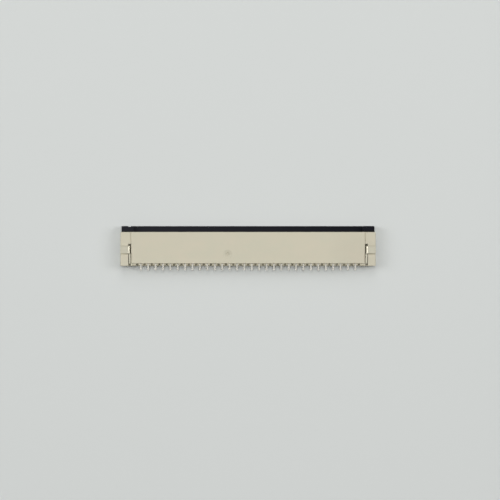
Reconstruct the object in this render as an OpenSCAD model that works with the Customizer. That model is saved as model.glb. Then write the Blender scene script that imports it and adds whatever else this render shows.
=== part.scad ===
// Flat-cable connector, surface mount, right angle, with a drawer slider.
// It lies on its cover: +Z is the solder side, +Y is the side where the cable and the slider go in,
// -Y is the side of the solder tails, and X runs along the row. Z = 0 is the cover's outer face.

/* [Contact row] */
// Number of contacts
contact_count = 30; // [4:1:56]
// Distance from one contact to the next
pitch = 1.0; // [0.95:0.05:1.4]
// Thickness of the sheet that the contacts are stamped from
contact_t = 0.2; // [0.15:0.01:0.28]
// Gap between a contact's flat side and the wall of its slot
contact_side_gap = 0.02; // [0.01:0.005:0.03]
// Gap between a contact's edge and the floor of its slot, which its barbs cross
contact_edge_gap = 0.03; // [0.02:0.005:0.04]
// Length of a barb on a contact's web
contact_barb_d = 0.15; // [0.08:0.01:0.2]
// Depth of the contacts' web, from the fork's throat to the rear edge
web_d = 1.25; // [1.1:0.05:1.35]
// Thickness of a solder tail
tail_t = 0.2; // [0.15:0.01:0.25]
// Length of a solder tail behind the housing
tail_out = 0.6; // [0.4:0.05:1.2]
// Thickness of the sprung beam on the solder side
spring_beam_t = 0.28; // [0.22:0.01:0.32]
// Thickness of the stiff beam on the cover side
stiff_beam_t = 0.34; // [0.25:0.01:0.4]
// Height of the sprung beam's contact point over its beam
point_h = 0.26; // [0.2:0.01:0.3]
// Depth that the sprung beam's end lies below its slot's floor
spring_sag = 0.14; // [0.08:0.01:0.18]
// Distance that the beams stay behind the front end of their slots
beam_end_gap = 0.12; // [0.08:0.01:0.3]

/* [Housing] */
// Height from the cover's face to the solder plane
height = 2.5; // [2.4:0.05:3]
// Height that the tails and tabs stand over the plate
standoff = 0.05; // [0.03:0.01:0.1]
// Distance from an end contact's centre to the housing's end
end_w = 2.75; // [2.7:0.05:3.2]
// Depth of the housing, front face to rear face
body_d = 4.6; // [4.5:0.05:5.2]
// Width of an ear
ear_w = 1.45; // [1.42:0.01:1.6]
// Depth that an ear lies below the plate
ear_drop = 0.1; // [0.06:0.01:0.15]
// Depth of the ledge behind the plate
ledge_d = 0.35; // [0.25:0.01:0.36]
// Depth that the ledge lies below the plate
ledge_drop = 0.3; // [0.24:0.01:0.4]
// Thickness of the plate on the solder side, at the cable's slot
plate_t = 0.7; // [0.66:0.01:0.75]
// Thickness of the cover at the cable's slot
cover_t = 0.7; // [0.65:0.01:0.75]
// Plastic left outside the contacts' slots
skin_t = 0.22; // [0.18:0.01:0.25]
// Plastic left in front of the contacts' slots
lip_d = 0.35; // [0.25:0.01:0.5]
// Depth of the cable's slot
slot_d = 3.1; // [3:0.05:3.15]
// Chamfer that leads the cable into its slot
lead_in = 0.2; // [0.1:0.01:0.25]
// Radius of the plate's edges at its front and sides
plate_edge_r = 0.05; // [0.04:0.01:0.12]
// Radius of the ears' outer edges on the solder side
ear_edge_r = 0.08; // [0.06:0.01:0.2]
// Width of the groove at the foot of the plate's sides
foot_groove_w = 0.12; // [0.08:0.01:0.15]
// Depth of the groove at the foot of the plate's sides
foot_groove_d = 0.08; // [0.03:0.01:0.1]
// Chamfer on the housing's other edges
edge = 0.06; // [0.03:0.01:0.1]
// Radius of the housing's upright corners
corner_r = 0.12; // [0.05:0.01:0.2]
// Width of a relief groove between two contacts at the rear
relief_w = 0.3; // [0.2:0.01:0.36]
// Plastic left on the cover's side of the relief grooves
relief_floor = 0.45; // [0.3:0.01:0.8]

/* [Cable] */
// Distance from an end contact's centre to the cable's edge
cable_margin = 1.0; // [0.9:0.01:1]
// Gap beside the cable in its slot
cable_gap = 0.05; // [0.03:0.01:0.06]

/* [Slider] */
// Depth of the bar
bar_d = 0.8; // [0.6:0.05:1.2]
// Distance that the bar stays inside the housing's ends
bar_inset = 0.15; // [0.1:0.01:0.22]
// Gap between the bar and the housing when closed
closed_gap = 0.02; // [0.01:0.005:0.05]
// Gap between the bar and the plane that the cover rests on
bar_lift = 0.08; // [0.04:0.01:0.15]
// Travel from closed to open
travel = 1.2; // [0.8:0.05:1.25]
// Thickness of the tongue at its root
tongue_t = 0.55; // [0.5:0.01:0.6]
// Thickness of the tongue at its tip
tongue_tip_t = 0.25; // [0.2:0.01:0.35]
// Length of the tongue's wedge
wedge_d = 1.1; // [0.8:0.05:1.4]
// Gap between the tongue and the cover, and at the tongue's sides
tongue_gap = 0.05; // [0.04:0.005:0.07]
// Gap between the tongue's tip and the end of its slot
tongue_end_gap = 0.15; // [0.1:0.01:0.3]
// Radius of the bar's front corner on the right
bar_right_r = 0.16; // [0.03:0.01:0.25]
// Radius of the bar's front corner on the left
bar_left_r = 0.06; // [0.03:0.01:0.25]
// Chamfer on the bar's edges
bar_edge = 0.07; // [0.03:0.01:0.1]
// Length of the side arms
arm_d = 3.0; // [2.8:0.05:3.3]
// Width of the side arms
arm_w = 0.5; // [0.4:0.01:0.55]
// Gap around the side arms
arm_gap = 0.06; // [0.05:0.01:0.08]
// Height that the latch stands out of its arm
latch_out = 0.24; // [0.15:0.01:0.26]
// Length of the latch
latch_d = 0.5; // [0.35:0.01:0.6]
// Depth of the nick in the bar's front edge
nick_d = 0.1; // [0.02:0.01:0.15]
// Width of the nick
nick_w = 0.45; // [0.2:0.01:0.6]

/* [Arm tunnels] */
// Plastic between a tunnel and the cover's face
tunnel_floor = 0.33; // [0.3:0.01:0.4]
// Height of a tunnel
tunnel_h = 0.79; // [0.7:0.01:0.82]
// Width of a tunnel
tunnel_w = 0.88; // [0.8:0.01:0.92]
// Thickness of a tunnel's outer wall
tunnel_wall = 0.27; // [0.25:0.01:0.3]

/* [Nails] */
// Thickness of the sheet that the nails are bent from
nail_t = 0.2; // [0.15:0.01:0.22]
// Inner radius of a nail's bend
bend_r = 0.1; // [0.08:0.01:0.14]
// Gap between the plate's side and a nail
nail_gap = 0.11; // [0.09:0.01:0.14]
// Distance that the plate's side stands back beside the nail's rear part
plate_relief = 0.08; // [0.04:0.01:0.12]
// Length of the solder tab
tab_d = 1.0; // [0.8:0.05:1.3]
// Distance that the tab reaches past the housing's end
tab_out = 0.01; // [0:0.01:0.2]
// Width of the groove in front of the tab
tab_front_gap = 0.04; // [0.03:0.01:0.1]
// Width of the groove behind the tab
tab_rear_gap = 0.16; // [0.05:0.01:0.2]
// Depth of both grooves under the tab's seat
tab_groove_d = 0.3; // [0.1:0.01:0.35]
// Distance from the housing's front face to the nail's slot
nail_slot_front = 1.6; // [1.4:0.05:1.8]
// Plastic behind the nail's slot
nail_slot_wall = 0.15; // [0.12:0.01:0.2]
// Plastic between the arm's tunnel and the nail's slot
nail_slot_floor = 0.18; // [0.15:0.01:0.22]
// Space in front of the nail's upper part
nail_front_gap = 0.3; // [0.2:0.01:0.4]
// Space behind the nail's upper part
nail_rear_gap = 0.2; // [0.1:0.01:0.25]
// Height of the nail's foot, which grips the ends of the slot
nail_foot_h = 0.22; // [0.2:0.01:0.5]
// Length of the barbs on the nail's foot
nail_barb = 0.06; // [0.04:0.01:0.08]
// Gap between a nail's rear part and the rib beside it
nail_rib_gap = 0.04; // [0.03:0.01:0.06]
// Depth that the rib's top lies below the ear
nail_rib_drop = 0.25; // [0.1:0.01:0.4]
// Notch between the tab's bend and the nail's rear part
nail_notch = 0.12; // [0.08:0.01:0.2]

/* [Marks] */
// Radius of the dish round the gate
gate_r = 0.55; // [0.3:0.01:0.6]
// Depth of the dish
gate_depth = 0.05; // [0.02:0.005:0.06]
// Radius of the pit that the gate left in the dish
pit_r = 0.22; // [0.08:0.01:0.25]
// Depth of the pit
pit_depth = 0.15; // [0.08:0.01:0.16]
// Distance of the gate from the middle of the row
gate_x = -2.76; // [-4:0.01:4]
// Distance of the gate behind the housing's front face
gate_back = 2.97; // [2:0.01:3.4]
// Number of marks that the ejector pins left on the cover
ejector_count = 4; // [2:2:8]
// Radius of an ejector pin's mark
ejector_r = 0.5; // [0.3:0.05:0.7]
// Depth of an ejector pin's mark
ejector_depth = 0.03; // [0.02:0.005:0.04]

/* [Hidden] */
// Segments in a quarter of a small rounding
quarter = 6;
// Reach of a cutting tool past the face that it cuts
over = 0.5;

half_row = (contact_count - 1) * pitch / 2;
half_w = half_row + end_w;
plate_half = half_w - ear_w;
slot_half = half_row + cable_margin + cable_gap;

// Places along Y
total_d = bar_d + body_d + tail_out;
front_y = total_d / 2;
face_y = front_y - bar_d;
rear_y = face_y - body_d;
tip_y = rear_y - tail_out;
plate_rear_y = rear_y + ledge_d;
slot_end_y = face_y - slot_d;
contact_slot_front_y = face_y - lip_d;

// Places along Z
plate_z = height - standoff;
ear_z = plate_z - ear_drop;
ledge_z = plate_z - ledge_drop;
slot_top_z = plate_z - plate_t;
slot_low_z = cover_t;
contact_top_z = plate_z - skin_t;
contact_low_z = skin_t;

// Contacts
contact_slot_w = contact_t + 2 * contact_side_gap;
web_rear_y = rear_y + contact_edge_gap;
throat_y = web_rear_y + web_d;
beam_end_y = contact_slot_front_y - beam_end_gap;
edge_low_z = contact_low_z + contact_edge_gap;
edge_top_z = contact_top_z - contact_edge_gap;
tail_root_y = plate_rear_y - contact_edge_gap;
contact_x = [for (i = [0:contact_count - 1]) i * pitch - half_row];
relief_x = [for (i = [0:contact_count]) (i - 0.5) * pitch - half_row];

// Slider
tongue_low_z = slot_low_z + tongue_gap;
tongue_top_z = tongue_low_z + tongue_t;
tongue_tip_y = slot_end_y + tongue_end_gap;
bar_rear_y = face_y + closed_gap;
bar_half = half_w - bar_inset;
block_top_z = ear_z - bar_edge / 2;
tunnel_out_x = half_w - tunnel_wall;
tunnel_in_x = tunnel_out_x - tunnel_w;
tunnel_top_z = tunnel_floor + tunnel_h;
arm_out_x = tunnel_out_x - arm_gap;
arm_in_x = arm_out_x - arm_w;
arm_tip_y = bar_rear_y - arm_d;

// Nails
nail_in_x = plate_half + nail_gap;
nail_out_x = nail_in_x + nail_t;
nail_slot_w = nail_gap + nail_t + bend_r;
nail_slot_front_y = face_y - nail_slot_front;
nail_slot_rear_y = rear_y + nail_slot_wall;
nail_slot_low_z = tunnel_top_z + nail_slot_floor;
nail_foot_z = nail_slot_low_z + contact_edge_gap;
nail_shoulder_z = nail_foot_z + nail_foot_h;
nail_front_y = nail_slot_front_y - nail_front_gap;
nail_rear_y = nail_slot_rear_y + nail_rear_gap;
tab_rear_y = nail_front_y - tab_d;
tab_low_z = height - nail_t;

CONTACTS = [for (i = [1:contact_count]) str("contact_", i < 10 ? "0" : "", i)];

// Points of an arc about c, from angle a to angle b
function arc(c, r, a, b) =
    [for (i = [0:quarter]) c + r * [cos(a + (b - a) * i / quarter), sin(a + (b - a) * i / quarter)]];

// Draws a (Y, Z) outline as a bar along X, centred on x
module along_x(x, w) {
    translate([x, 0, 0]) rotate([90, 0, 90]) linear_extrude(w, center = true) children();
}

// A block between two corners
module block(low, high) {
    translate(low) cube(high - low);
}

// The same shape at both ends of the row
module both_ends() {
    children();
    mirror([1, 0, 0]) children();
}

// Cuts the edge along Y at [x, z], between a side that faces +X and a top, to a chamfer of size c
module edge_cut(x, z, c) {
    translate([x, 0, z]) rotate([90, 0, 0]) linear_extrude(2 * total_d, center = true)
        polygon([[0, -c], [0, over], [-c - over, over]]);
}

// Cuts the same edge to a round of radius r
module edge_round(x, z, r) {
    translate([x, 0, z]) rotate([90, 0, 0]) linear_extrude(2 * total_d, center = true)
        polygon(concat(arc([-r, -r], r, 0, 90), [[-r, over], [0, over]]));
}

// (Y, Z) outline of a bar from rear to front and from z = 0 to top, with its edges chamfered by c
module chamfered_side(rear, front, top, c) {
    polygon([
        [rear + c, 0],
        [front - c, 0],
        [front, c],
        [front, top - c],
        [front - c, top],
        [rear + c, top],
        [rear, top - c],
        [rear, c]
    ]);
}

module housing_core() {
    plate_rear_edge = edge / 2;
    along_x(0, 2 * plate_half) polygon(concat(
        [[rear_y + edge, 0], [face_y - edge, 0], [face_y, edge]],
        arc([face_y - plate_edge_r, plate_z - plate_edge_r], plate_edge_r, 0, 90),
        [[plate_rear_y + plate_rear_edge, plate_z], [plate_rear_y, plate_z - plate_rear_edge]],
        [[plate_rear_y, ledge_z], [rear_y + edge, ledge_z], [rear_y, ledge_z - edge], [rear_y, edge]]
    ));
}

// Lower part of the housing, which joins the core to both ears
module housing_base() {
    along_x(0, 2 * plate_half + ear_w) chamfered_side(rear_y, face_y, ledge_z, edge);
}

module ear() {
    in_x = plate_half - plate_relief;
    front = [half_w - corner_r, face_y - corner_r];
    rear = [half_w - corner_r, rear_y + corner_r];
    difference() {
        intersection() {
            linear_extrude(height) polygon(concat(
                [[in_x, rear_y]],
                arc(rear, corner_r, -90, 0),
                arc(front, corner_r, 0, 90),
                [[in_x, face_y]]
            ));
            along_x(in_x, 2 * end_w) chamfered_side(rear_y, face_y, ear_z, edge);
        }
        edge_round(half_w, ear_z, ear_edge_r);
        mirror([0, 0, 1]) edge_cut(half_w, 0, edge);
    }
}

module cable_slot() {
    along_x(0, 2 * slot_half) polygon([
        [slot_end_y, slot_low_z],
        [face_y - lead_in, slot_low_z],
        [face_y, slot_low_z - lead_in / 2],
        [face_y + over, slot_low_z - lead_in / 2],
        [face_y + over, slot_top_z + lead_in],
        [face_y, slot_top_z + lead_in],
        [face_y - lead_in, slot_top_z],
        [slot_end_y, slot_top_z]
    ]);
}

// The slot of one contact, open at the rear, and open on the solder side over the ledge
module contact_slot() {
    along_x(0, contact_slot_w) polygon([
        [rear_y - over, contact_low_z],
        [contact_slot_front_y, contact_low_z],
        [contact_slot_front_y, contact_top_z],
        [plate_rear_y, contact_top_z],
        [plate_rear_y, plate_z + over],
        [rear_y - over, plate_z + over]
    ]);
}

module relief_groove() {
    block([-relief_w / 2, rear_y - over, relief_floor], [relief_w / 2, plate_rear_y, plate_z + over]);
}

module arm_tunnel() {
    window_front_y = arm_tip_y + latch_d + travel + arm_gap;
    block(
        [tunnel_in_x, arm_tip_y - 2 * arm_gap, tunnel_floor],
        [tunnel_out_x, face_y + over, tunnel_top_z]
    );
    block(
        [tunnel_out_x - arm_gap, arm_tip_y - 2 * arm_gap, tunnel_floor],
        [half_w + over, window_front_y, tunnel_top_z]
    );
}

// The slot that a nail is pressed into, and the recess that its tab lies in
module nail_slot() {
    out_x = plate_half + nail_slot_w;
    top_z = plate_z + over;
    rib_x = nail_in_x - nail_rib_gap;
    // the space over the rib, the part in front of the rib, and the nail's own place outside it
    block([plate_half - plate_relief, nail_slot_rear_y, ear_z - nail_rib_drop], [out_x, tab_rear_y, top_z]);
    block([plate_half, tab_rear_y, nail_slot_low_z], [out_x, nail_slot_front_y, top_z]);
    block([rib_x, nail_slot_rear_y, nail_slot_low_z], [out_x, nail_slot_front_y, top_z]);
    // the mouth in the rear wall, over the foot
    block([rib_x, rear_y - over, nail_shoulder_z], [out_x, nail_slot_front_y, top_z]);
    // the tab's seat, which runs over the grooves in front of the tab and behind it
    groove_z = tab_low_z - tab_groove_d;
    seat_front_y = nail_front_y + tab_front_gap;
    seat_rear_y = tab_rear_y - tab_rear_gap;
    block([nail_out_x, seat_rear_y, tab_low_z], [half_w + over, seat_front_y, top_z]);
    block([nail_out_x, nail_front_y, groove_z], [half_w + over, seat_front_y, top_z]);
    block([nail_out_x, seat_rear_y, groove_z], [half_w + over, tab_rear_y, top_z]);
}

// Groove at the foot of the plate's side, from the front face to the nail's slot
module foot_groove() {
    block(
        [plate_half, nail_slot_front_y - nail_front_gap, ear_z - foot_groove_d],
        [plate_half + foot_groove_w, face_y + over, plate_z + over]
    );
}

// The dish round the gate, with the pit where the gate broke off
module gate_mark() {
    translate([gate_x, face_y - gate_back, plate_z]) rotate_extrude($fn = 48) polygon([
        [0, -pit_depth],
        [pit_r * 0.6, -pit_depth],
        [pit_r, -gate_depth],
        [gate_r * 0.8, -gate_depth * 0.8],
        [gate_r, 0],
        [gate_r, over],
        [0, over]
    ]);
}

module ejector_marks() {
    spacing = 2 * plate_half / ejector_count;
    for (i = [0:ejector_count - 1])
        translate([(i + 0.5) * spacing - plate_half, (face_y + rear_y) / 2, -over])
            cylinder(h = over + ejector_depth, r = ejector_r, $fn = 48);
}

module housing() {
    color([0.79, 0.77, 0.69]) difference() {
        union() {
            housing_core();
            housing_base();
            both_ends() ear();
        }
        both_ends() edge_round(plate_half, plate_z, plate_edge_r);
        cable_slot();
        for (x = contact_x) translate([x, 0, 0]) contact_slot();
        for (x = relief_x) translate([x, 0, 0]) relief_groove();
        both_ends() arm_tunnel();
        both_ends() nail_slot();
        both_ends() foot_groove();
        gate_mark();
        ejector_marks();
    }
}

// The bar's middle, which the cable slides over
module bar_middle() {
    along_x(0, 2 * (slot_half + tongue_gap)) polygon([
        [bar_rear_y, bar_lift + bar_edge],
        [bar_rear_y + bar_edge, bar_lift],
        [front_y - bar_edge, bar_lift],
        [front_y, bar_lift + bar_edge],
        [front_y, tongue_top_z - lead_in],
        [front_y - lead_in, tongue_top_z],
        [bar_rear_y, tongue_top_z]
    ]);
}

// The tongue, with the wedge that runs in over the stiff beams
module tongue() {
    along_x(0, 2 * (slot_half - tongue_gap)) polygon([
        [tongue_tip_y, tongue_low_z],
        [bar_rear_y + bar_edge, tongue_low_z],
        [bar_rear_y + bar_edge, tongue_top_z],
        [tongue_tip_y + wedge_d, tongue_top_z],
        [tongue_tip_y, tongue_low_z + tongue_tip_t]
    ]);
}

// Block at the bar's right end, which closes the side of the cable's way in, with a front corner of radius r
module end_block(r) {
    centre = [bar_half - r, front_y - r];
    difference() {
        intersection() {
            linear_extrude(height) polygon(concat(
                [[slot_half - tongue_gap, bar_rear_y], [bar_half, bar_rear_y]],
                arc(centre, r, 0, 90),
                [[slot_half - tongue_gap, front_y]]
            ));
            translate([0, 0, bar_lift]) along_x(bar_half, 2 * end_w)
                chamfered_side(bar_rear_y, front_y, block_top_z - bar_lift, bar_edge);
        }
        edge_cut(bar_half, block_top_z, bar_edge);
        translate([0, 0, bar_lift]) mirror([0, 0, 1]) edge_cut(bar_half, 0, bar_edge);
    }
}

// Arm that slides in the ear's tunnel, with the latch that its window holds
module side_arm() {
    low_z = tunnel_floor + arm_gap;
    top_z = tunnel_top_z - arm_gap;
    translate([0, 0, low_z]) linear_extrude(top_z - low_z) polygon([
        [arm_in_x, bar_rear_y + bar_edge],
        [arm_in_x, arm_tip_y + arm_w / 2],
        [arm_in_x + arm_w / 2, arm_tip_y],
        [arm_out_x, arm_tip_y],
        [arm_out_x + latch_out, arm_tip_y + latch_d / 2],
        [arm_out_x + latch_out, arm_tip_y + latch_d],
        [arm_out_x, arm_tip_y + latch_d],
        [arm_out_x, bar_rear_y + bar_edge]
    ]);
}

module slider() {
    color([0.1, 0.1, 0.11]) difference() {
        union() {
            bar_middle();
            tongue();
            end_block(bar_right_r);
            mirror([1, 0, 0]) end_block(bar_left_r);
            both_ends() side_arm();
        }
        nick_x = plate_half + ear_w / 6;
        block([-nick_x - nick_w / 2, front_y - nick_d, 0], [-nick_x + nick_w / 2, front_y + over, height]);
    }
}

// (Y, Z) outline of a contact: web, stiff beam on the cover's side, sprung beam, and tail
module contact_outline() {
    barb = contact_edge_gap;
    throat_r = (edge_top_z - spring_beam_t - edge_low_z - stiff_beam_t) / 3;
    stiff_top = edge_low_z + stiff_beam_t;
    nose_r = (slot_low_z - stiff_top) / 2 + point_h / 4;
    spring_low = edge_top_z - spring_beam_t;
    point_y = beam_end_y - 2 * point_h;
    point_z = spring_low - spring_sag;
    polygon(concat(
        // web's lower edge with two barbs, then the stiff beam and its nose
        [[web_rear_y, edge_low_z + barb], [web_rear_y + barb, edge_low_z]],
        [[throat_y - 3 * contact_barb_d, edge_low_z], [throat_y - 3 * contact_barb_d, edge_low_z - barb]],
        [[throat_y - 2 * contact_barb_d, edge_low_z]],
        [[beam_end_y - barb, edge_low_z], [beam_end_y, edge_low_z + barb]],
        [[beam_end_y, stiff_top], [beam_end_y - nose_r, slot_low_z]],
        [[beam_end_y - 2 * nose_r, slot_low_z], [beam_end_y - 4 * nose_r, stiff_top]],
        // throat of the fork
        arc([throat_y + throat_r, stiff_top + throat_r], throat_r, 270, 180),
        arc([throat_y + throat_r, spring_low - throat_r], throat_r, 180, 90),
        // sprung beam: lower edge, contact point, end, and upper edge
        [[point_y - 3 * point_h, point_z + spring_sag / 3]],
        arc([point_y, point_z - point_h / 2], point_h / 2, 180, 360),
        [[beam_end_y, point_z + point_h / 2]],
        [[beam_end_y - barb, point_z + spring_beam_t * 0.7]],
        [[throat_y, edge_top_z]],
        // web's upper edge with its barb, then the tail
        [[throat_y - 2 * contact_barb_d, edge_top_z], [throat_y - 3 * contact_barb_d, edge_top_z + barb]],
        [[throat_y - 3 * contact_barb_d, edge_top_z]],
        [[tail_root_y, edge_top_z], [tail_root_y, height - tail_t / 2]],
        arc([tail_root_y - tail_t / 2, height - tail_t / 2], tail_t / 2, 0, 90),
        [[tip_y + barb, height], [tip_y, height - barb], [tip_y, height - tail_t + barb]],
        [[tip_y + barb, height - tail_t]],
        arc([web_rear_y - tail_t / 2, height - tail_t * 1.5], tail_t / 2, 90, 0)
    ));
}

module contact(i) {
    color([0.80, 0.79, 0.74]) along_x(contact_x[i], contact_t) contact_outline();
}

// Upright sheet of a nail: foot with barbs, and the narrower upper part up to height top
module nail_sheet(top) {
    foot_front = nail_slot_front_y - nail_barb;
    foot_rear = nail_slot_rear_y + nail_barb;
    along_x(nail_in_x + nail_t / 2, nail_t) polygon([
        [foot_rear + nail_barb, nail_foot_z],
        [foot_front - nail_barb, nail_foot_z],
        [foot_front, nail_foot_z + nail_barb],
        [nail_slot_front_y, nail_shoulder_z],
        [nail_front_y, nail_shoulder_z],
        [nail_front_y, top],
        [tab_rear_y, top],
        [tab_rear_y, top - nail_notch],
        [tab_rear_y - nail_notch, top - nail_notch],
        [tab_rear_y - nail_notch, ear_z],
        [nail_rear_y, ear_z],
        [nail_rear_y, nail_shoulder_z],
        [nail_slot_rear_y, nail_shoulder_z],
        [foot_rear, nail_foot_z + nail_barb]
    ]);
}

// Bend and solder tab, as an (X, Z) outline drawn along Y
module nail_tab() {
    outer_r = bend_r + nail_t;
    centre = [nail_out_x + bend_r, height - outer_r];
    leg_z = centre[1] - bend_r;
    translate([0, nail_front_y, 0]) rotate([90, 0, 0]) linear_extrude(tab_d) polygon(concat(
        [[nail_in_x, leg_z]],
        arc(centre, outer_r, 180, 90),
        [[half_w + tab_out, height], [half_w + tab_out, tab_low_z]],
        arc(centre, bend_r, 90, 180),
        [[nail_out_x, leg_z]]
    ));
}

module nail() {
    color([0.78, 0.77, 0.72]) union() {
        nail_sheet(height - nail_t - bend_r);
        nail_tab();
    }
}

module nail_left() {
    mirror([1, 0, 0]) nail();
}

module nail_right() {
    nail();
}

housing();
slider();
nail_left();
nail_right();
for (i = [0:contact_count - 1]) contact(i);
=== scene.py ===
"""Flat-cable connector lying on its cover, seen from straight above the solder side."""

import math

import bpy
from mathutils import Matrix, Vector


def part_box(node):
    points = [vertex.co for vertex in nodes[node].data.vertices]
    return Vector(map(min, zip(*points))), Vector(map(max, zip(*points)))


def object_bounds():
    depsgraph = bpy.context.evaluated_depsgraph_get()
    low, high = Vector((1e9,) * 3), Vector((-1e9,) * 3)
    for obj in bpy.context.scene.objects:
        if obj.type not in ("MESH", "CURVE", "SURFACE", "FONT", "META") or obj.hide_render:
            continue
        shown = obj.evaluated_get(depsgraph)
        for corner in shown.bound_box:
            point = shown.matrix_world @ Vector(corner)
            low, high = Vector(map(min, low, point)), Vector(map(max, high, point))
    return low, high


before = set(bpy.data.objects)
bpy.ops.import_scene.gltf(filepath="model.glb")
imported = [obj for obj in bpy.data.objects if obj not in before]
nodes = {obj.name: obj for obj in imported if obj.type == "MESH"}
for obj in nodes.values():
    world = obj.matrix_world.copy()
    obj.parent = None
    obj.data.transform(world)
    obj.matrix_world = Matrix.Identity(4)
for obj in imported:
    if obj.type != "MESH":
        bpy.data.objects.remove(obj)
cad_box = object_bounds()
MM = 0.001


# ---------- places on the part ----------


housing_low, housing_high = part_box("housing")
LEFT_X, RIGHT_X = housing_low[0], housing_high[0]
REAR_Y, FACE_Y = housing_low[1], housing_high[1]
PLATE_Z = housing_high[2]
SOLDER_Z = cad_box[1][2]

# The gate's mark, and the inner and outer radius of its scar and of the stain round it
GATE = (-2.76 * MM, FACE_Y - 2.97 * MM, PLATE_Z)
GATE_SCAR = (0.1 * MM, 0.34 * MM)
GATE_STAIN = (0.3 * MM, 0.75 * MM)

# A painted shade that darkens the plate's right end, and its inner and outer radius
END_SHADE = (RIGHT_X - 2.4 * MM, REAR_Y + 1.8 * MM, PLATE_Z)
END_SHADE_RADII = (1.0 * MM, 5.0 * MM)

# The painted shade along the ledge's rear edge between the ears, as limits along an axis: (axis, inner,
# outer)
LEDGE_Z = PLATE_Z - 0.3 * MM
EAR = 1.5 * MM
FADE = 0.1 * MM
LEDGE_SHADE_BOX = (
    ("Y", REAR_Y + 0.05 * MM, REAR_Y + 0.25 * MM),
    ("Z", LEDGE_Z + 0.04 * MM, LEDGE_Z + 0.1 * MM),
    ("Z", LEDGE_Z - 0.1 * MM, LEDGE_Z - 0.3 * MM),
    ("X", RIGHT_X - EAR - FADE, RIGHT_X - EAR),
    ("X", LEFT_X + EAR + FADE, LEFT_X + EAR),
)

# Heights below which tin is painted darker as shade deep in its slot, and above which it keeps its own
# colour
SLOT_SHADE_Z = SOLDER_Z - 0.9 * MM
UNSHADED_Z = SOLDER_Z - 0.4 * MM


# ---------- helpers ----------


def srgb(r, g, b):
    """Linear colour of an 8-bit screen colour."""

    def linear(v):
        v /= 255
        return v / 12.92 if v <= 0.04045 else ((v + 0.055) / 1.055) ** 2.4

    return (linear(r), linear(g), linear(b), 1.0)


def add(tree, kind, inputs=None, **settings):
    """A new shader node with its settings and plain input values."""
    node = tree.nodes.new(kind)
    for name, value in settings.items():
        setattr(node, name, value)
    for name, value in (inputs or {}).items():
        node.inputs[name].default_value = value
    return node


def link(tree, source, output, target, entry):
    """Joins an output of one node to an input of another, both by name."""
    tree.links.new(source.outputs[output], target.inputs[entry])


def new_material(name, **values):
    """A material with one Principled shader that has these socket values."""
    material = bpy.data.materials.new(name)
    material.use_nodes = True
    tree = material.node_tree
    tree.nodes.clear()
    shader = add(tree, "ShaderNodeBsdfPrincipled", values)
    output = add(tree, "ShaderNodeOutputMaterial")
    link(tree, shader, "BSDF", output, "Surface")
    return material, tree, shader


def noise(tree, scale_per_mm, detail, stretch=(1, 1, 1), seed=0.0):
    """Noise in the part's own frame, with about scale_per_mm blobs in a millimetre."""
    place = add(tree, "ShaderNodeTexCoord")
    mapping = add(tree, "ShaderNodeMapping", {"Location": (seed, seed, seed), "Scale": stretch})
    texture = add(tree, "ShaderNodeTexNoise", {"Scale": scale_per_mm / MM, "Detail": detail})
    link(tree, place, "Object", mapping, "Vector")
    link(tree, mapping, "Vector", texture, "Vector")
    return texture


def ramp(tree, source, output, low, high):
    """A colour ramp from low to high over the middle part of a factor."""
    node = add(tree, "ShaderNodeValToRGB")
    link(tree, source, output, node, "Fac")
    first, last = node.color_ramp.elements
    first.position, first.color = 0.3, low
    last.position, last.color = 0.7, high
    return node


def spread(tree, source, output, low, high):
    """Maps a factor to a range of plain values."""
    node = add(tree, "ShaderNodeMapRange", {"To Min": low, "To Max": high})
    link(tree, source, output, node, "Value")
    return node


def bump(tree, shader, source, output, depth, strength):
    """Bump of a depth in metres on the shader."""
    node = add(tree, "ShaderNodeBump", {"Strength": strength, "Distance": depth})
    link(tree, source, output, node, "Height")
    link(tree, node, "Normal", shader, "Normal")


def near(tree, centre, radii, share):
    """A factor that is share within the inner radius round a place, and 0 past the outer radius."""
    place = add(tree, "ShaderNodeTexCoord")
    away = add(tree, "ShaderNodeVectorMath", operation="DISTANCE")
    away.inputs[1].default_value = centre
    tree.links.new(place.outputs["Object"], away.inputs[0])
    limits = {"From Min": radii[0], "From Max": radii[1], "To Min": share, "To Max": 0.0}
    fade = add(tree, "ShaderNodeMapRange", limits, interpolation_type="SMOOTHSTEP")
    link(tree, away, "Value", fade, "Value")
    return fade


def across(tree, axis, start, end, share):
    """A factor that falls from share at start to 0 at end, along an axis of the part's frame."""
    place = add(tree, "ShaderNodeTexCoord")
    parts = add(tree, "ShaderNodeSeparateXYZ")
    link(tree, place, "Object", parts, "Vector")
    limits = {"From Min": start, "From Max": end, "To Min": share, "To Max": 0.0}
    fade = add(tree, "ShaderNodeMapRange", limits, interpolation_type="SMOOTHSTEP")
    link(tree, parts, axis, fade, "Value")
    return fade


def within(tree, limits, share):
    """A factor that is share inside a box and 0 outside it, from limits of (axis, inner, outer)."""
    fade = None
    for axis, inner, outer in limits:
        step = across(tree, axis, inner, outer, share)
        if fade:
            link(tree, fade, "Result", step, "To Min")
        fade = step
    return fade


def tint(tree, factor, base, shade):
    """A colour mixed towards a plain shade by a factor."""
    node = add(tree, "ShaderNodeMixRGB", {"Color2": shade})
    link(tree, factor, "Result", node, "Fac")
    link(tree, base, "Color", node, "Color1")
    return node


# ---------- materials ----------


RESIN_IOR = 1.5
RESIN_BUMP = 0.004 * MM
TIN_BUMP = 0.002 * MM
# Dark colour painted on tin deep in its slot as shade
SLOT_SHADE_TIN = srgb(70, 62, 50)


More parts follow.
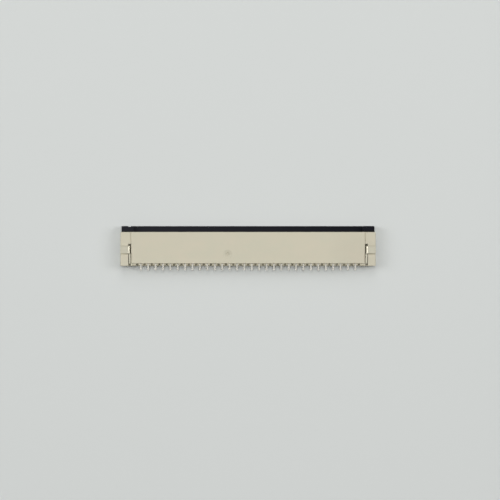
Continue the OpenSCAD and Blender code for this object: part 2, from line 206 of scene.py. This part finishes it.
def housing_resin():
    """Beige resin with faint clouds, a fine grain and the gate's mark, with painted shade at the plate's
    right end and along the ledge's rear edge.
    """
    material, tree, shader = new_material("housing_resin", **{"IOR": RESIN_IOR, "Specular IOR Level": 0.35})
    clouds = noise(tree, 0.35, 3, (1, 1.6, 1), 0.013)
    colour = ramp(tree, clouds, "Fac", srgb(204, 197, 177), srgb(200, 196, 176))
    # Painted shade: the plate's right end is darkened
    end_shade = tint(tree, near(tree, END_SHADE, END_SHADE_RADII, 0.3), colour, srgb(190, 183, 165))
    # Painted shade: the ledge's rear edge is darkened
    ledge_shade = tint(tree, within(tree, LEDGE_SHADE_BOX, 0.6), end_shade, srgb(150, 144, 124))
    stain = tint(tree, near(tree, GATE, GATE_STAIN, 0.3), ledge_shade, srgb(180, 177, 158))
    scar = tint(tree, near(tree, GATE, GATE_SCAR, 0.2), stain, srgb(160, 157, 140))
    link(tree, scar, "Color", shader, "Base Color")
    grain = noise(tree, 28, 3)
    rough = spread(tree, grain, "Fac", 0.48, 0.64)
    link(tree, rough, "Result", shader, "Roughness")
    bump(tree, shader, grain, "Fac", RESIN_BUMP, 0.5)
    return material


def slider_resin():
    """Black resin with faint flow lines and a fine grain, with a painted sheen that makes it paler towards
    the left end.
    """
    material, tree, shader = new_material("slider_resin", **{"IOR": RESIN_IOR, "Specular IOR Level": 0.11})
    flow = noise(tree, 0.9, 4, (0.25, 1, 1), 0.021)
    colour = ramp(tree, flow, "Fac", srgb(9, 10, 16), srgb(14, 14, 21))
    # Painted sheen: the bar is painted paler towards its left end
    left_sheen = tint(tree, across(tree, "X", cad_box[0][0], cad_box[1][0], 0.9), colour, srgb(30, 30, 35))
    link(tree, left_sheen, "Color", shader, "Base Color")
    grain = noise(tree, 24, 3)
    rough = spread(tree, grain, "Fac", 0.4, 0.56)
    link(tree, rough, "Result", shader, "Roughness")
    bump(tree, shader, grain, "Fac", RESIN_BUMP, 0.5)
    return material


def tin_plate(name, colour, brushed, finest, slot_shade_share):
    """Brushed satin tin, with roughness from finest, painted darker by a share as shade deep in its slot."""
    material, tree, shader = new_material(name, Metallic=1.0)
    patches = noise(tree, 3.0, 3, (1, 1, 1), 0.007)
    darker = tuple(0.93 * v for v in colour[:3]) + (1,)
    tone = ramp(tree, patches, "Fac", darker, colour)
    # Painted shade: tin deep in its slot is darkened towards a dark colour
    slot_shade = tint(tree, across(tree, "Z", SLOT_SHADE_Z, UNSHADED_Z, slot_shade_share), tone, SLOT_SHADE_TIN)
    link(tree, slot_shade, "Color", shader, "Base Color")
    lines = noise(tree, 30, 2, brushed)
    rough = spread(tree, lines, "Fac", finest, finest + 0.1)
    link(tree, rough, "Result", shader, "Roughness")
    bump(tree, shader, lines, "Fac", TIN_BUMP, 0.35)
    return material


def dress(material, *names):
    """Gives CAD nodes a material in each of their slots."""
    for name in names:
        slots = nodes[name].material_slots
        if not slots:
            nodes[name].data.materials.append(material)
        for slot in slots:
            slot.material = material


# ---------- edges ----------


SAME_POINT = 0.0001 * MM
SLIVER = 0.0005 * MM
FLAT_ANGLE = math.radians(1)
SHARP_ANGLE = math.radians(35)


def soften(width, *names):
    """Breaks the sharp edges of CAD nodes with a small round, and joins the slivers that it leaves."""
    for name in names:
        weld = nodes[name].modifiers.new("weld", "WELD")
        weld.merge_threshold = SAME_POINT
        flats = nodes[name].modifiers.new("flats", "DECIMATE")
        flats.decimate_type = "DISSOLVE"
        flats.angle_limit = FLAT_ANGLE
        edges = nodes[name].modifiers.new("edges", "BEVEL")
        edges.width = width
        edges.segments = 2
        edges.limit_method = "ANGLE"
        edges.angle_limit = SHARP_ANGLE
        edges.use_clamp_overlap = False
        joined = nodes[name].modifiers.new("joined", "WELD")
        joined.merge_threshold = SLIVER


# ---------- looks of the CAD's pieces ----------


contacts = sorted(name for name in nodes if name.startswith("contact_"))
dress(housing_resin(), "housing")
dress(slider_resin(), "slider")
dress(tin_plate("contact_tin", srgb(221, 216, 206), (1, 0.15, 1), 0.22, 0.0), *contacts)
dress(tin_plate("nail_tin", srgb(208, 202, 184), (0.2, 1, 1), 0.28, 0.6), "nail_left", "nail_right")
soften(0.01 * MM, "housing")
soften(0.015 * MM, "slider", "nail_left", "nail_right")
soften(0.012 * MM, *contacts)


# ---------- camera ----------


# Width of the view at the solder plane, height of the camera above that plane, and how far the view's middle
# lies from the part's along X and Y
FIELD = 67.57 * MM
CAMERA_DISTANCE = 350 * MM
AIM_OFFSET = Vector((0.265, -0.235)) * MM

low, high = (Vector(corner) for corner in cad_box)
middle = (low + high) / 2
camera_data = bpy.data.cameras.new("camera")
camera_data.sensor_width = 36
camera_data.lens = camera_data.sensor_width * CAMERA_DISTANCE / FIELD
camera_data.clip_start = 0.01
camera = bpy.data.objects.new("camera", camera_data)
camera.location = (middle.x + AIM_OFFSET.x, middle.y + AIM_OFFSET.y, high.z + CAMERA_DISTANCE)
bpy.context.scene.collection.objects.link(camera)
bpy.context.scene.camera = camera


# ---------- floor and light ----------


FLOOR_SIZE = 3


def floor():
    """A pale sheet of paper under the part."""
    values = {"Base Color": srgb(213, 216, 214), "Roughness": 0.9, "Specular IOR Level": 0.1}
    material, *_ = new_material("floor_paper", **values)
    bpy.ops.mesh.primitive_plane_add(size=FLOOR_SIZE, location=(0, 0, low.z))
    plane = bpy.context.object
    plane.name = "floor"
    plane.data.materials.append(material)


def world_light(strength, shade):
    """An even light from all round, which the camera and reflections see as a plain pale shade."""
    world = bpy.data.worlds.new("world")
    world.use_nodes = True
    tree = world.node_tree
    tree.nodes.clear()
    light = add(tree, "ShaderNodeBackground", {"Color": (1, 1, 1, 1), "Strength": strength})
    seen = add(tree, "ShaderNodeBackground", {"Color": shade, "Strength": 1.0})
    path = add(tree, "ShaderNodeLightPath")
    direct = add(tree, "ShaderNodeMath", operation="MAXIMUM")
    choice = add(tree, "ShaderNodeMixShader")
    output = add(tree, "ShaderNodeOutputWorld")
    tree.links.new(path.outputs["Is Camera Ray"], direct.inputs[0])
    tree.links.new(path.outputs["Is Glossy Ray"], direct.inputs[1])
    link(tree, direct, "Value", choice, "Fac")
    tree.links.new(light.outputs["Background"], choice.inputs[1])
    tree.links.new(seen.outputs["Background"], choice.inputs[2])
    link(tree, choice, "Shader", output, "Surface")
    bpy.context.scene.world = world


def area_light(name, place, size, share, glossy=True):
    """A rectangular lamp aimed at the part, which gives this share of the light on a level surface."""
    place = Vector(place)
    data = bpy.data.lights.new(name, "AREA")
    data.shape = "RECTANGLE"
    data.size, data.size_y = size
    data.energy = share * (math.pi * place.length) ** 2 * place.length / place.z
    lamp = bpy.data.objects.new(name, data)
    lamp.location = place
    lamp.rotation_euler = (-place).to_track_quat("-Z", "Y").to_euler()
    lamp.visible_glossy = glossy
    bpy.context.scene.collection.objects.link(lamp)


floor()
world_light(strength=0.09, shade=srgb(211, 214, 213))
area_light("key", place=(0, 0.02, 0.5), size=(0.08, 0.08), share=0.26, glossy=False)
area_light("front_strip", place=(0, 0.22, 0.34), size=(0.2, 0.36), share=0.22, glossy=False)
for side in (-1, 1):
    area_light("side_strip", place=(side * 0.28, 0.06, 0.37), size=(0.16, 0.3), share=0.233)

bpy.context.scene.view_settings.view_transform = "Standard"
